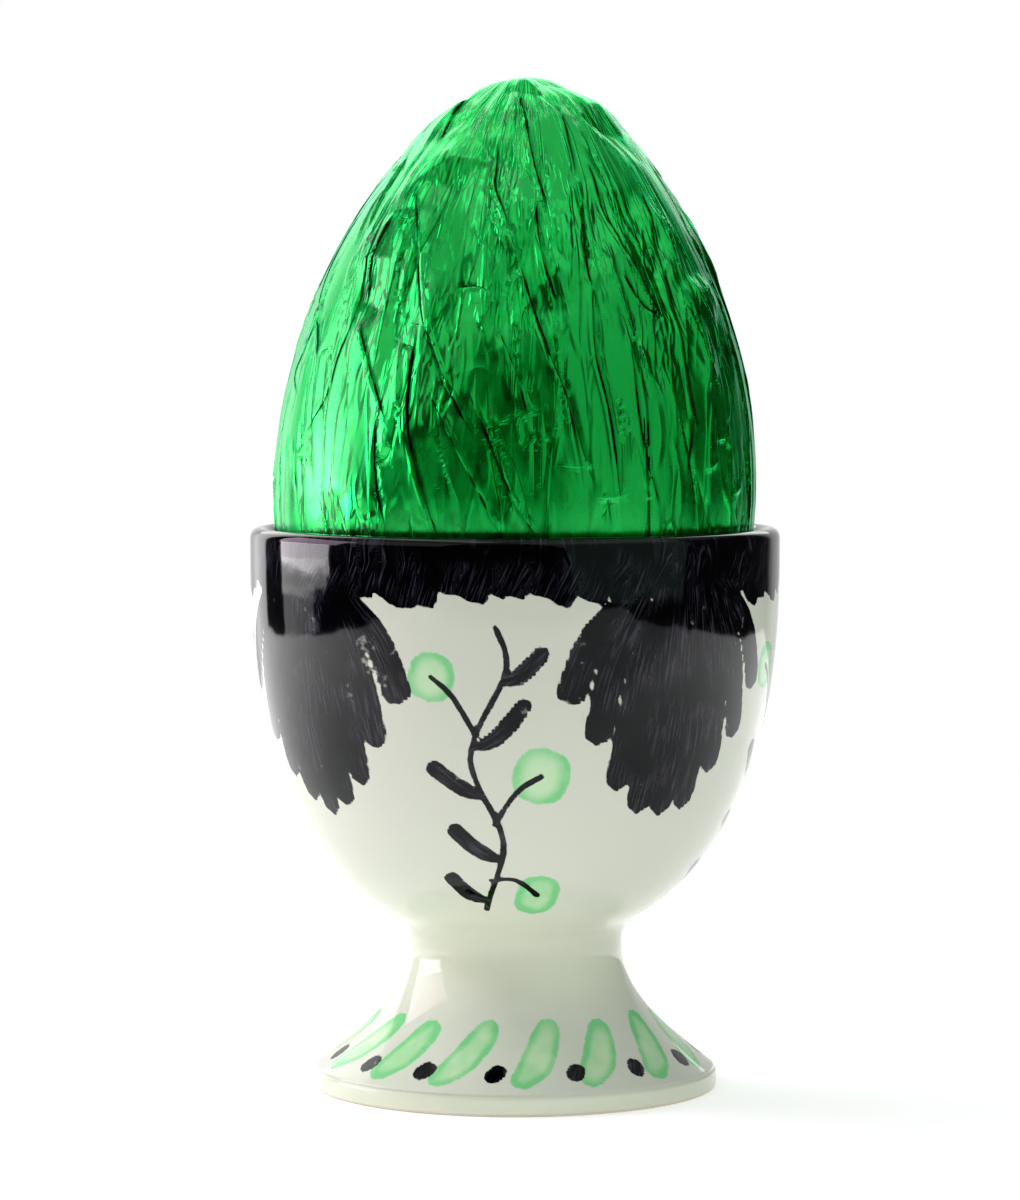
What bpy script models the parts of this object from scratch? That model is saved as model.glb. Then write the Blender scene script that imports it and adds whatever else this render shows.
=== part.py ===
"""A foil-wrapped chocolate egg standing in a turned ceramic egg cup.

Two solids: "egg_cup", a bowl on a flared foot, and "foil_egg", the wrapped egg that is wedged
blunt end down in the bowl's mouth. Metres, +Z up, origin at the centre of the foot's underside.
"""

import math
import random

import bmesh
import bpy
from mathutils import Vector

MM = 0.001

# Driving sizes of the cup.
CUP_HEIGHT = 53.05 * MM
BOWL_RADIUS = 25.0 * MM
BOWL_TOP = 51.0 * MM          # height below which the bowl's outside starts to curve in
BOWL_DEPTH = 37.4 * MM        # from BOWL_TOP down to the point that the curve aims at
BOWL_FULLNESS = 2.4           # exponent of the bowl's curve: 2 is an ellipse, more is squarer
SOCKET_RADIUS = 23.17 * MM    # inside of the mouth, round the egg
SOCKET_FLOOR = 26.4 * MM
SOCKET_FULLNESS = 2.25
WAIST_RADIUS = 10.2 * MM
WAIST_HEIGHT = 14.0 * MM
WAIST_DROP = 5.3 * MM         # how far below the waist the stem stays nearly upright
NECK_RADIUS = 11.6 * MM       # where the bowl's curve hands over to the hollow of the waist
FOOT_RADIUS = 19.15 * MM
FOOT_EDGE_TOP = 1.95 * MM     # upper corner of the foot's edge
FOOT_EDGE_ROUND = 0.45 * MM
FLARE_LEAN = math.radians(38)  # slope of the foot where it reaches its edge
FLARE_REACH = 6.5 * MM        # length over which the foot keeps that slope
FOOT_RING_INNER = 15.7 * MM
RECESS_DEPTH = 1.6 * MM
CUP_SEGMENTS = 60

# Rings that each stretch of the cup's outline gets, its ends included.
SOCKET_RINGS = 12
LIP_RINGS = 8
BOWL_RINGS = 14
HOLLOW_RINGS = 4
FLARE_RINGS = 8
EDGE_RINGS = 4

# Driving sizes of the egg.
EGG_RADIUS = 22.9 * MM
EGG_UPPER = 39.3 * MM         # girth to pointed tip
EGG_LOWER = 26.9 * MM         # girth to blunt end
EGG_TAPER = 0.196             # how much the upper half draws in towards its tip
EGG_TAPER_POWER = 2.15
GIRTH_HEIGHT = 56.1 * MM      # height of the egg's widest ring above the table
EGG_LEAN = math.radians(1.6)  # the egg leans to +X
EGG_SEGMENTS = 72
UPPER_RINGS = 19
LOWER_RINGS = 9

# Folds pressed flat in the foil.
PLEAT_COUNT = 19
PLEAT_DEPTH = 0.4 * MM        # the deepest fold
PLEAT_WIDTHS = (0.5, 0.95)    # least and greatest, as shares of the room for one fold
PLEAT_SHIFT = 0.3             # how far a fold strays from its even place, in the same shares
PLEAT_SLANT = 0.25            # greatest turn, in radians, from the girth to an end of the egg
PLEAT_FADE = 6                # exponent: the folds keep their depth until close to the ends
PLEAT_SEED = 4
MERGE_DISTANCE = 0.001 * MM
SHARP_CUP = 40                # degrees; edges sharper than this keep a crisp shade
SHARP_EGG = 30


def clear_scene():
    """Removes whatever the file holds."""
    for item in list(bpy.data.objects):
        bpy.data.objects.remove(item, do_unlink=True)


def plain_material(name, colour, roughness, metallic=0.0):
    """A Principled material of one colour."""
    material = bpy.data.materials.new(name)
    material.use_nodes = True
    shader = material.node_tree.nodes["Principled BSDF"]
    shader.inputs["Base Color"].default_value = (*colour, 1.0)
    shader.inputs["Roughness"].default_value = roughness
    shader.inputs["Metallic"].default_value = metallic
    return material


def arc(centre, radius, start, end, count):
    """Points (r, z) on a circular arc; angles in degrees, 0 along +r and 90 along +z."""
    steps = [start + (end - start) * i / (count - 1) for i in range(count)]
    return [
        (centre[0] + radius * math.cos(math.radians(a)), centre[1] + radius * math.sin(math.radians(a)))
        for a in steps
    ]


def bezier(handles, count):
    """Points on a Bezier curve of any degree through (r, z) handles, both ends included."""
    degree = len(handles) - 1
    points = []
    for i in range(count):
        t = i / (count - 1)
        weights = [math.comb(degree, k) * t**k * (1 - t) ** (degree - k) for k in range(degree + 1)]
        points.append(tuple(sum(w * h[axis] for w, h in zip(weights, handles)) for axis in (0, 1)))
    return points


def bowl_curve(radius, top, depth, fullness, end_radius, count):
    """A superellipse's quarter from the vertical wall at `top` in to `end_radius`."""
    last = math.acos((end_radius / radius) ** (fullness / 2))
    points = []
    for i in range(count):
        a = last * i / (count - 1)
        run = radius * max(0.0, math.cos(a)) ** (2 / fullness)
        points.append((run, top - depth * math.sin(a) ** (2 / fullness)))
    return points


def lip():
    """The rounded lip, from the socket's wall over the top to the outside."""
    radius = (BOWL_RADIUS - SOCKET_RADIUS) / 2
    centre = (SOCKET_RADIUS + radius, CUP_HEIGHT - radius)
    return arc(centre, radius, 180, 0, LIP_RINGS)


def outside():
    """The bowl, the waist and the foot, from under the lip down to the table."""
    bowl = bowl_curve(BOWL_RADIUS, BOWL_TOP, BOWL_DEPTH, BOWL_FULLNESS, NECK_RADIUS, BOWL_RINGS)
    neck = bowl[-1]
    # The neck's handle lies where the bowl's last chord would cross the waist's radius.
    before = bowl[-2]
    slope = (before[1] - neck[1]) / (before[0] - neck[0])
    handle = (WAIST_RADIUS, neck[1] - slope * (neck[0] - WAIST_RADIUS))
    hollow = bezier([neck, handle, (WAIST_RADIUS, WAIST_HEIGHT)], HOLLOW_RINGS)[1:]
    # The upper edge is cut back by a third of its rounding, which is enough of a bevel at this size.
    edge_start = (FOOT_RADIUS - FOOT_EDGE_ROUND / 3, FOOT_EDGE_TOP)
    flare_handle = (
        edge_start[0] - FLARE_REACH * math.cos(FLARE_LEAN),
        edge_start[1] + FLARE_REACH * math.sin(FLARE_LEAN),
    )
    drop = (WAIST_RADIUS, WAIST_HEIGHT - WAIST_DROP)
    flare = bezier([(WAIST_RADIUS, WAIST_HEIGHT), drop, flare_handle, edge_start], FLARE_RINGS)[1:]
    rounding = FOOT_EDGE_ROUND
    upper_edge = [(FOOT_RADIUS, FOOT_EDGE_TOP - rounding)]
    lower_edge = arc((FOOT_RADIUS - rounding, rounding), rounding, 0, -90, EDGE_RINGS)
    return bowl + hollow + flare + upper_edge + lower_edge


def underside():
    """The flat foot ring and the shallow recess inside it, in to the axis."""
    shoulder = FOOT_RING_INNER - RECESS_DEPTH
    return [(FOOT_RING_INNER, 0.0), (shoulder, RECESS_DEPTH), (0.0, RECESS_DEPTH)]


def socket():
    """The inside of the bowl, from its floor on the axis up to the lip."""
    depth = BOWL_TOP - SOCKET_FLOOR
    wall = bowl_curve(SOCKET_RADIUS, BOWL_TOP, depth, SOCKET_FULLNESS, 0.0, SOCKET_RINGS)
    return wall[::-1]


def turned_solid(name, outline, segments, material):
    """Spins an (r, z) outline, whose ends lie on the Z axis, into one closed solid."""
    shape = bmesh.new()
    verts = [shape.verts.new((r, 0.0, z)) for r, z in outline]
    edges = [shape.edges.new(pair) for pair in zip(verts, verts[1:])]
    bmesh.ops.spin(
        shape,
        geom=verts + edges,
        cent=Vector(),
        axis=Vector((0, 0, 1)),
        angle=math.tau,
        steps=segments,
        use_duplicate=False,
    )
    bmesh.ops.remove_doubles(shape, verts=shape.verts, dist=MERGE_DISTANCE)
    bmesh.ops.recalc_face_normals(shape, faces=shape.faces)
    mesh = bpy.data.meshes.new(name)
    shape.to_mesh(mesh)
    shape.free()
    mesh.materials.append(material)
    item = bpy.data.objects.new(name, mesh)
    bpy.context.collection.objects.link(item)
    return item


def shade_round(item, sharp_degrees):
    """Smooth shading, with edges sharper than the angle kept crisp."""
    item.data.shade_smooth()
    item.data.set_sharp_from_angle(angle=math.radians(sharp_degrees))


def make_cup():
    """The one-piece ceramic cup."""
    glaze = plain_material("glazed_ceramic", (0.80, 0.79, 0.72), 0.12)
    outline = socket() + lip() + outside() + underside()
    cup = turned_solid("egg_cup", outline, CUP_SEGMENTS, glaze)
    shade_round(cup, SHARP_CUP)
    return cup


def egg_outline():
    """The egg's half outline round its own girth, from the blunt end up to the tip."""
    lower = []
    for i in range(LOWER_RINGS):
        a = math.pi / 2 * (1 - i / LOWER_RINGS)
        lower.append((EGG_RADIUS * math.cos(a), -EGG_LOWER * math.sin(a)))
    lower[0] = (0.0, -EGG_LOWER)
    upper = []
    for i in range(UPPER_RINGS + 1):
        a = math.pi / 2 * i / UPPER_RINGS
        rise = math.sin(a)
        draw_in = 1 - EGG_TAPER * rise**EGG_TAPER_POWER
        upper.append((EGG_RADIUS * math.cos(a) * draw_in, EGG_UPPER * rise))
    upper[-1] = (0.0, EGG_UPPER)
    return lower + upper


def pleats():
    """Each fold of the foil as (angle, width, depth, slant), round the egg."""
    dice = random.Random(PLEAT_SEED)
    step = math.tau / PLEAT_COUNT
    return [
        (
            i * step + dice.uniform(-PLEAT_SHIFT, PLEAT_SHIFT) * step,
            step * dice.uniform(*PLEAT_WIDTHS),
            PLEAT_DEPTH * dice.uniform(0.45, 1.0),
            dice.uniform(-PLEAT_SLANT, PLEAT_SLANT),
        )
        for i in range(PLEAT_COUNT)
    ]


def fold_relief(angle, rise, folds):
    """How far the foil is pressed in at a place: saw-toothed folds that fade at both ends."""
    relief = 0.0
    for start, width, depth, slant in folds:
        past = (angle - start - slant * rise) % math.tau
        if past < width:
            relief = max(relief, depth * (1 - past / width))
    return relief * max(0.0, 1 - rise**PLEAT_FADE)


def make_egg():
    """The wrapped egg: a turned egg whose surface is pressed in along the folds."""
    foil = plain_material("green_foil", (0.01, 0.42, 0.09), 0.35, metallic=1.0)
    egg = turned_solid("foil_egg", egg_outline(), EGG_SEGMENTS, foil)
    folds = pleats()
    for vert in egg.data.vertices:
        flat = math.hypot(vert.co.x, vert.co.y)
        if flat > MERGE_DISTANCE:
            rise = abs(vert.co.z) / (EGG_UPPER if vert.co.z > 0 else EGG_LOWER)
            keep = 1 - fold_relief(math.atan2(vert.co.y, vert.co.x), rise, folds) / flat
            vert.co.x *= keep
            vert.co.y *= keep
    egg.rotation_euler = (0.0, EGG_LEAN, 0.0)
    egg.location = (0.0, 0.0, GIRTH_HEIGHT)
    shade_round(egg, SHARP_EGG)
    return egg


clear_scene()
make_cup()
make_egg()
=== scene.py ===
# %% [markdown]
# # A foil-wrapped chocolate egg in a painted egg cup
# The object is two things: a chocolate egg wrapped in green foil, and the small ceramic cup that
# it stands in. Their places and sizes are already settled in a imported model, the frame. This
# lesson builds the visible pieces round that frame: a turned and glazed cup with brushwork under
# its glaze, and a sheet of foil with its folds.

# %% Load the frame
import math
import random
from functools import partialmethod

import bpy
from mathutils import Matrix, Vector


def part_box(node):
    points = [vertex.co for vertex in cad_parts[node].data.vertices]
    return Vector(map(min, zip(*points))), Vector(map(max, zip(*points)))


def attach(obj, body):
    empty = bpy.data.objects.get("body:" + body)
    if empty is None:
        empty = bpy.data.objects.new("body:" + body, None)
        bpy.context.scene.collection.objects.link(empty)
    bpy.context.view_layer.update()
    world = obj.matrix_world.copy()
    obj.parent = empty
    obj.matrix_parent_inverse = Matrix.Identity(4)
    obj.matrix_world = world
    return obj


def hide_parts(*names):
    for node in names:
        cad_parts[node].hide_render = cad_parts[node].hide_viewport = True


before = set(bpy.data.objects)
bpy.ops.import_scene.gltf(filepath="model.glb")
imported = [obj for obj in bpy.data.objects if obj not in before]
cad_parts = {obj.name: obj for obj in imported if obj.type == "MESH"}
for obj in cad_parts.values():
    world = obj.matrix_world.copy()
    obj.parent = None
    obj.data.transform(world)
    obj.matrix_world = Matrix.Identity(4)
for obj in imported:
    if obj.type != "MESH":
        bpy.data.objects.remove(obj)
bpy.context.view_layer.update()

mm = 0.001
cup_low, cup_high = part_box("egg_cup")
egg_low, egg_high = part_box("foil_egg")
print("cup", cup_low, cup_high, "egg", egg_low, egg_high)

# %% [markdown]
# ## Three small helpers for node trees
# Both shapes and materials below are made of nodes. Laying nodes by hand takes four lines each, so
# `add` puts one in a tree, sets it up and feeds its inputs in a single call. Sums are the most
# common case. A `Field` is an output socket that understands + - * and /, and lays a Math node
# for each sign, so that a formula in the script reads like the formula on paper.

# %% Helpers that lay nodes
def bare(source):
    """The socket behind a Field, or the socket itself."""
    return getattr(source, "socket", source)


def tree_of(source):
    """The node tree that a socket or a Field belongs to."""
    return bare(source).id_data


def feed(socket, value):
    """Link a socket or a Field to an input, or write a plain value into it."""
    if isinstance(value, (Field, bpy.types.NodeSocket)):
        tree_of(socket).links.new(bare(value), socket)
    else:
        socket.default_value = value


def add(tree, kind, feeds=None, **settings):
    """Add a node; the settings come first, because some of them change which inputs exist."""
    node = tree.nodes.new(kind)
    for name, value in settings.items():
        setattr(node, name, value)
    for key, value in (feeds or {}).items():
        feed(node.inputs[key], value)
    return node


class Field:
    """An output socket that sums can be written with."""

    def __init__(self, socket):
        self.socket = socket

    def math(self, operation, other=0.0):
        feeds = {0: self, 1: other}
        return Field(add(tree_of(self), "ShaderNodeMath", feeds, operation=operation).outputs[0])

    __add__ = partialmethod(math, "ADD")
    __sub__ = partialmethod(math, "SUBTRACT")
    __mul__ = partialmethod(math, "MULTIPLY")
    __truediv__ = partialmethod(math, "DIVIDE")
    __pow__ = partialmethod(math, "POWER")
    least = partialmethod(math, "MINIMUM")
    most = partialmethod(math, "MAXIMUM")
    size = partialmethod(math, "ABSOLUTE")

    def clamp(self):
        return self.most(0.0).least(1.0)

    def span(self, start, end, low=0.0, high=1.0):
        """Follow the value from start to end with a smooth step from low to high."""
        feeds = {0: self, 1: start, 2: end, 3: low, 4: high}
        node = add(tree_of(self), "ShaderNodeMapRange", feeds, interpolation_type="SMOOTHSTEP")
        return Field(node.outputs[0])


def vector(x, y, z):
    """Three numbers joined into one vector socket."""
    return add(tree_of(x), "ShaderNodeCombineXYZ", {0: x, 1: y, 2: z}).outputs[0]


def split(source):
    """A vector socket's three numbers as Fields."""
    return [Field(part) for part in add(tree_of(source), "ShaderNodeSeparateXYZ", {0: source}).outputs]


def mixed(factor, first, second):
    """A blend of two colours."""
    feeds = {0: factor, 6: first, 7: second}
    return add(tree_of(factor), "ShaderNodeMix", feeds, data_type="RGBA").outputs[2]


def vector_math(operation, first, second=None, factor=None):
    """A Vector Math node: the output is a socket."""
    node = add(tree_of(first), "ShaderNodeVectorMath", {0: first}, operation=operation)
    if second is not None:
        feed(node.inputs[1], second)
    if factor is not None:
        feed(node.inputs["Scale"], factor)
    return node.outputs["Value" if operation == "LENGTH" else "Vector"]


# %% [markdown]
# A geometry tree also needs a doorway for its sizes. `shape_tree` makes the tree with named inputs,
# and `run_tree` puts it on an object, sets those inputs, and takes the finished mesh away from the
# modifier, so that what is left is a plain mesh that any program can read. The other helpers write
# and read the numbers that a mesh carries on its points, its attributes.

# %% Helpers that build and run a geometry tree
def shape_tree(name, inputs):
    """A geometry tree with named inputs after its Geometry; returned with its two end nodes."""
    tree = bpy.data.node_groups.new(name, "GeometryNodeTree")
    for way in ("INPUT", "OUTPUT"):
        tree.interface.new_socket("Geometry", in_out=way, socket_type="NodeSocketGeometry")
    for label, kind in inputs.items():
        tree.interface.new_socket(label, in_out="INPUT", socket_type="NodeSocket" + kind)
    return tree, tree.nodes.new("NodeGroupInput"), tree.nodes.new("NodeGroupOutput")


def geo(tree, kind, feeds=None, **settings):
    """Add a geometry node and give its first output."""
    return add(tree, "GeometryNode" + kind, feeds, **settings).outputs[0]


def named(tree, label, kind="FLOAT"):
    """Read an attribute in a geometry tree."""
    return geo(tree, "InputNamedAttribute", {"Name": label}, data_type=kind)


def store(geometry, label, value, kind="FLOAT"):
    """Write an attribute in a geometry tree."""
    feeds = {"Geometry": geometry, "Name": label, "Value": value}
    return geo(geometry.id_data, "StoreNamedAttribute", feeds, data_type=kind)


def shape_of(start, label):
    """The mesh of an object that is one of the tree's inputs."""
    node = add(start.id_data, "GeometryNodeObjectInfo", {"Object": start.outputs[label]})
    return node.outputs["Geometry"]


def look_up(shape, label, place):
    """An attribute of a shape, read where its surface comes nearest to a place."""
    tree = shape.id_data
    feeds = {0: shape, "Value": named(tree, label), "Sample Position": place}
    return Field(geo(tree, "SampleNearestSurface", feeds, data_type="FLOAT"))


def close_tree(start, end, geometry):
    """End a tree: every instance made real, and the material on every face."""
    tree = end.id_data
    real = geo(tree, "RealizeInstances", {"Geometry": geometry})
    feeds = {"Geometry": real, "Material": start.outputs["Material"]}
    feed(end.inputs[0], geo(tree, "SetMaterial", feeds))
    return tree


def run_tree(item, tree, values):
    """Put the tree on the object, set its inputs by identifier, and keep only the plain mesh."""
    modifier = item.modifiers.new(tree.name, "NODES")
    modifier.node_group = tree
    for entry in tree.interface.items_tree:
        if entry.in_out == "INPUT" and entry.name in values:
            modifier[entry.identifier] = values[entry.name]
    graph = bpy.context.evaluated_depsgraph_get()
    mesh = bpy.data.meshes.new_from_object(
        item.evaluated_get(graph), preserve_all_data_layers=True, depsgraph=graph
    )
    item.modifiers.clear()
    item.data = mesh
    mesh.name = item.name
    print(f"{item.name}: {len(mesh.vertices)} points, {len(mesh.polygons)} faces")


def mesh_item(name, points=(), edges=(), faces=(), tags=None):
    """An object made of points, edges and faces; tags give the points numbers under a label."""
    mesh = bpy.data.meshes.new(name)
    mesh.from_pydata([tuple(point) for point in points], edges, faces)
    for label, numbers in (tags or {}).items():
        mesh.attributes.new(label, "FLOAT", "POINT").data.foreach_set("value", numbers)
    item = bpy.data.objects.new(name, mesh)
    bpy.context.scene.collection.objects.link(item)
    return item


def new_material(name, constants):
    """A material with its node tree and its Principled shader, whose constants are set."""
    material = bpy.data.materials.new(name)
    material.use_nodes = True
    shader = material.node_tree.nodes["Principled BSDF"]
    for label, value in constants.items():
        shader.inputs[label].default_value = value
    return material, material.node_tree, shader


def noise_at(place, scale, detail=2.0):
    """Noise from 0 to 1 at a place."""
    feeds = {"Vector": place, "Scale": scale, "Detail": detail}
    return Field(add(tree_of(place), "ShaderNodeTexNoise", feeds).outputs[0])


# %% [markdown]
# ## The camera
# A long lens from close to the table flattens the cup's mouth to a thin ellipse. The camera stands
# a little above the middle of the object and looks down by a few degrees. Depth of field stays
# off, so that every view is sharp. The film has a curve of its own: it deepens the darkest tones
# and leaves the rest alone, which gives foil and black glaze their punch.

# %% Camera
camera_distance = 425 * mm
camera_height = 0.74 * egg_high.z
camera_pitch = math.radians(3.3)
camera_aside = -0.47 * mm

camera = bpy.data.objects.new("camera", bpy.data.cameras.new("camera"))
bpy.context.scene.collection.objects.link(camera)
camera.location = (camera_aside, -camera_distance, camera_height)
camera.rotation_euler = (math.pi / 2 - camera_pitch, 0.0, 0.0)
camera.data.sensor_width = 36
camera.data.lens = 135
camera.data.clip_start = 0.01
camera.data.clip_end = 20
bpy.context.scene.camera = camera
print("camera", camera.location)

# %% The film's curve
all_channels = 3
deepened = [(0.006, 0.001), (0.014, 0.005), (0.03, 0.019), (0.07, 0.062), (0.12, 0.12)]

view = bpy.context.scene.view_settings
view.view_transform = "Standard"
view.use_curve_mapping = True
film_curve = view.curve_mapping.curves[all_channels]
for light_in, light_out in deepened:
    film_curve.points.new(light_in, light_out)
for point in film_curve.points:
    point.handle_type = "VECTOR"
view.curve_mapping.update()

# %% [markdown]
# ## The table, the room and the lights
# Foil and glaze are mirrors more than colours, so the light is a set of things to be mirrored. On
# the left, a little behind the object, stands a stack of softboxes: a tall one for the foil, a low
# bright one for the rim's gloss, and two thin strips that let its lower edge fade out. A wide dim
# panel stands on the right, another at the left front, a strip hangs above, and a glow behind.
# Straight in front the room is dark, and that gives the foil its deep green stripe.
#
# Most of those are seen in mirrors only. Matt surfaces get their light from three fills that no
# mirror shows, so how bright the cup is and what it mirrors can be set apart. A white wall behind
# the object, brighter towards the left, and a pale ceiling are painted in the world shader by
# direction, which costs nothing to render, and the camera itself sees plain white all round. The
# floor glows, which is painted light: least near the object and in front of it, so that it stays
# white out to its edge and yet takes a faint shadow at the foot, and the cup and foil mirror a
# darker floor in front.

# %% Floor
floor_radius = 0.3
floor_white = (0.9, 0.9, 0.9, 1.0)
glow_near, glow_far = 0.38, 1.0
glow_start, glow_end = 0.05, 0.22
glow_front = 0.2
front_start, front_end = -0.06, -0.12

corners = [(x * floor_radius, y * floor_radius, 0.0) for x, y in ((-1, -1), (1, -1), (1, 1), (-1, 1))]
floor = mesh_item("studio_floor", corners, faces=[(0, 1, 2, 3)])
glowing_floor_finish = {"Base Color": floor_white, "Roughness": 1.0, "Specular IOR Level": 0.0}
glowing_floor_finish["Emission Color"] = (1.0, 1.0, 1.0, 1.0)
floor_glow_material, tree, shader = new_material("white_paper", glowing_floor_finish)
spot = add(tree, "ShaderNodeTexCoord").outputs["Object"]
_, depth, _ = split(spot)
away = Field(vector_math("LENGTH", spot))
# Painted light and shade: the floor's own glow, dimmer round the object and dimmest in front of it.
glow = away.span(glow_start, glow_end, glow_near, glow_far)
glow = glow * depth.span(front_end, front_start, glow_front, 1.0)
feed(shader.inputs["Emission Strength"], glow)
floor.data.materials.append(floor_glow_material)

# %% The painted room
def degrees_span(angle, start, end, low=0.0, high=1.0):
    """A smooth step of an angle between two bearings in degrees."""
    return angle.span(math.radians(start), math.radians(end), low, high)


world = bpy.data.worlds.new("studio_room")
bpy.context.scene.world = world
world.use_nodes = True
room = world.node_tree
east, north, up = split(add(room, "ShaderNodeTexCoord").outputs["Generated"])
ceiling = up.span(0.45, 1.0, 0.08, 0.76)
# The bearing is 0 straight behind the object and grows to the right.
bearing = east.math("ARCTAN2", north)
wall_light = degrees_span(bearing, -10, 25, 1.0, 0.7) + degrees_span(bearing, -18, -30, 0.0, 1.2)
wall = degrees_span(bearing, -44, -41) * degrees_span(bearing, 42, 27)
wall = wall * up.span(0.985, 0.96) * wall_light
seen = Field(add(room, "ShaderNodeLightPath").outputs["Is Camera Ray"])
background = room.nodes["Background"]
feed(background.inputs["Strength"], ceiling.most(wall).most(seen))
background.inputs["Color"].default_value = (1.0, 1.0, 1.0, 1.0)

# %% Lights
aim = Vector((0, 0, 0.62 * egg_high.z))
white = (1.0, 1.0, 1.0)
# Name; azimuth from the camera round to the object's left, and elevation, in degrees; distance,
# width and height in metres; radiance; colour; what it is for.
lamps = [
    ("left_fill", 101, 18, 0.5, 0.37, 0.6, 2.4, white, "light"),
    ("left_softbox", 101, 19, 0.5, 0.37, 0.27, 4.1, (1.0, 0.74, 0.95), "mirror"),
    ("left_softbox_low", 102, 0.8, 0.5, 0.30, 0.085, 8.0, (1.0, 0.94, 0.99), "mirror"),
    ("left_softbox_edge", 103, -4.5, 0.5, 0.28, 0.022, 2.6, white, "mirror"),
    ("left_softbox_halo", 106, -7.6, 0.5, 0.20, 0.04, 1.3, white, "mirror"),
    ("left_low_fill", 112, 30, 0.5, 0.3, 0.2, 8.0, white, "light"),
    ("back_glow", 180, 36, 0.7, 0.7, 0.55, 1.7, white, "mirror"),
    ("top_strip", 70, 72, 0.6, 0.5, 0.12, 1.4, white, "mirror"),
    ("front_fill", 0, 8, 0.6, 0.5, 0.3, 1.3, white, "light"),
    ("right_panel", -50, 30, 0.6, 0.72, 0.9, 0.52, (0.78, 1.0, 0.9), "both"),
    ("left_front_panel", 54, 31, 0.5, 0.42, 0.27, 0.75, (1.0, 1.0, 0.92), "mirror"),
]
for name, azimuth, elevation, distance, width, height, radiance, colour, task in lamps:
    turn, lift = math.radians(azimuth), math.radians(elevation)
    flat = math.cos(lift) * distance
    place = Vector((-flat * math.sin(turn), -flat * math.cos(turn), distance * math.sin(lift)))
    light = bpy.data.lights.new(name, "AREA")
    light.shape = "RECTANGLE"
    light.size = width
    light.size_y = height
    light.energy = radiance * math.pi * width * height
    light.color = colour
    lamp = bpy.data.objects.new(name, light)
    lamp.location = aim + place
    lamp.rotation_euler = (-place).to_track_quat("-Z", "Y").to_euler()
    lamp.visible_glossy = task != "light"
    lamp.visible_diffuse = task != "mirror"
    bpy.context.scene.collection.objects.link(lamp)
print("lights", len(lamps))

# %% [markdown]
# ## Turning a profile
# The cup was thrown or cast round an axis, and an egg is a turned shape too. So both start on the
# same lathe: a geometry tree that lays a flat grid, gives each of its rows one point of a profile,
# and rolls the rows round the axis. The Screw modifier could do it as well. The grid is chosen
# because every point can be told, before it moves, how far round and how far along the profile it
# lies, and the paint and the folds later need to know that.

# %% A lathe made of nodes
merge_distance = 1e-6


def lathe_tree():
    """Grid rows become the points of a profile, and grid columns go once round the axis."""
    inputs = {"Profile": "Object", "Columns": "Int", "Material": "Material"}
    tree, start, end = shape_tree("lathe", inputs)
    profile = shape_of(start, "Profile")
    rows = add(tree, "GeometryNodeAttributeDomainSize", {"Geometry": profile})
    row_count = Field(rows.outputs["Point Count"])
    columns = Field(start.outputs["Columns"])
    sizes = {"Size X": 1.0, "Size Y": 1.0, "Vertices X": columns + 1.0, "Vertices Y": row_count}
    grid = geo(tree, "MeshGrid", sizes)
    spot = geo(tree, "InputPosition")
    across, up, _ = split(spot)
    turn = (across + 0.5) * math.tau
    row = ((up + 0.5) * (row_count - 1.0)).math("ROUND")

    def in_profile(value, kind):
        """A value of the profile's point that belongs to this row."""
        feeds = {"Geometry": profile, "Value": value, "Index": row}
        return geo(tree, "SampleIndex", feeds, data_type=kind)

    radius, _, height = split(in_profile(spot, "FLOAT_VECTOR"))
    along = in_profile(named(tree, "along"), "FLOAT")
    cosine, sine = turn.math("COSINE"), turn.math("SINE")
    wrap = vector(cosine, sine, along)
    told = store(grid, "wrap", wrap, "FLOAT_VECTOR")
    rolled = vector(radius * cosine, radius * sine, height)
    moved = geo(tree, "SetPosition", {"Geometry": told, "Position": rolled})
    merged = geo(tree, "MergeByDistance", {"Geometry": moved, "Distance": merge_distance})
    smooth = geo(tree, "SetShadeSmooth", {"Geometry": merged})
    return close_tree(start, end, smooth)


def run_lengths(spots):
    """How far along a line each of its points lies."""
    runs = [0.0]
    for before, after in zip(spots, spots[1:]):
        runs.append(runs[-1] + math.dist(before, after))
    return runs


def profile_item(name, outline):
    """An (r, z) outline as a chain of points that know how far along it they lie."""
    chain = [(step, step + 1) for step in range(len(outline) - 1)]
    points = [(r, 0.0, z) for r, z in outline]
    return mesh_item(name, points, chain, tags={"along": run_lengths(outline)})


lathe = lathe_tree()

# %% [markdown]
# ## The cup's profile
# A slip-cast egg cup is drawn as one line: up the inside of the socket, over a round lip, down a
# bowl that starts upright and closes like a squared-off ellipse, through a narrow waist, and out
# over a flared foot to a thin edge. Each stretch has its own formula, and `even_steps` then deals
# out points at one spacing, so that the painted side gets a fine mesh and the hidden side a coarse
# one.

# %% Curves that a profile is made of
def arc(centre, radius, start, end, count):
    """Points on a round arc; angles in degrees, 0 outwards and 90 up."""
    turns = [math.radians(start + (end - start) * step / (count - 1)) for step in range(count)]
    return [(centre[0] + radius * math.cos(a), centre[1] + radius * math.sin(a)) for a in turns]


def bezier(handles, count):
    """Points on a Bezier curve through (r, z) handles."""
    degree = len(handles) - 1
    spots = []
    for step in range(count):
        t = step / (count - 1)
        weights = [math.comb(degree, k) * t**k * (1 - t) ** (degree - k) for k in range(degree + 1)]
        spots.append(tuple(sum(w * h[axis] for w, h in zip(weights, handles)) for axis in (0, 1)))
    return spots


def squared_ellipse(radius, top, depth, fullness, end_radius, count):
    """A quarter of a superellipse, from the upright wall at the top in to the end radius."""
    last = math.acos((end_radius / radius) ** (fullness / 2))
    spots = []
    for step in range(count):
        a = last * step / (count - 1)
        run = radius * max(0.0, math.cos(a)) ** (2 / fullness)
        spots.append((run, top - depth * math.sin(a) ** (2 / fullness)))
    return spots


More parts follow.
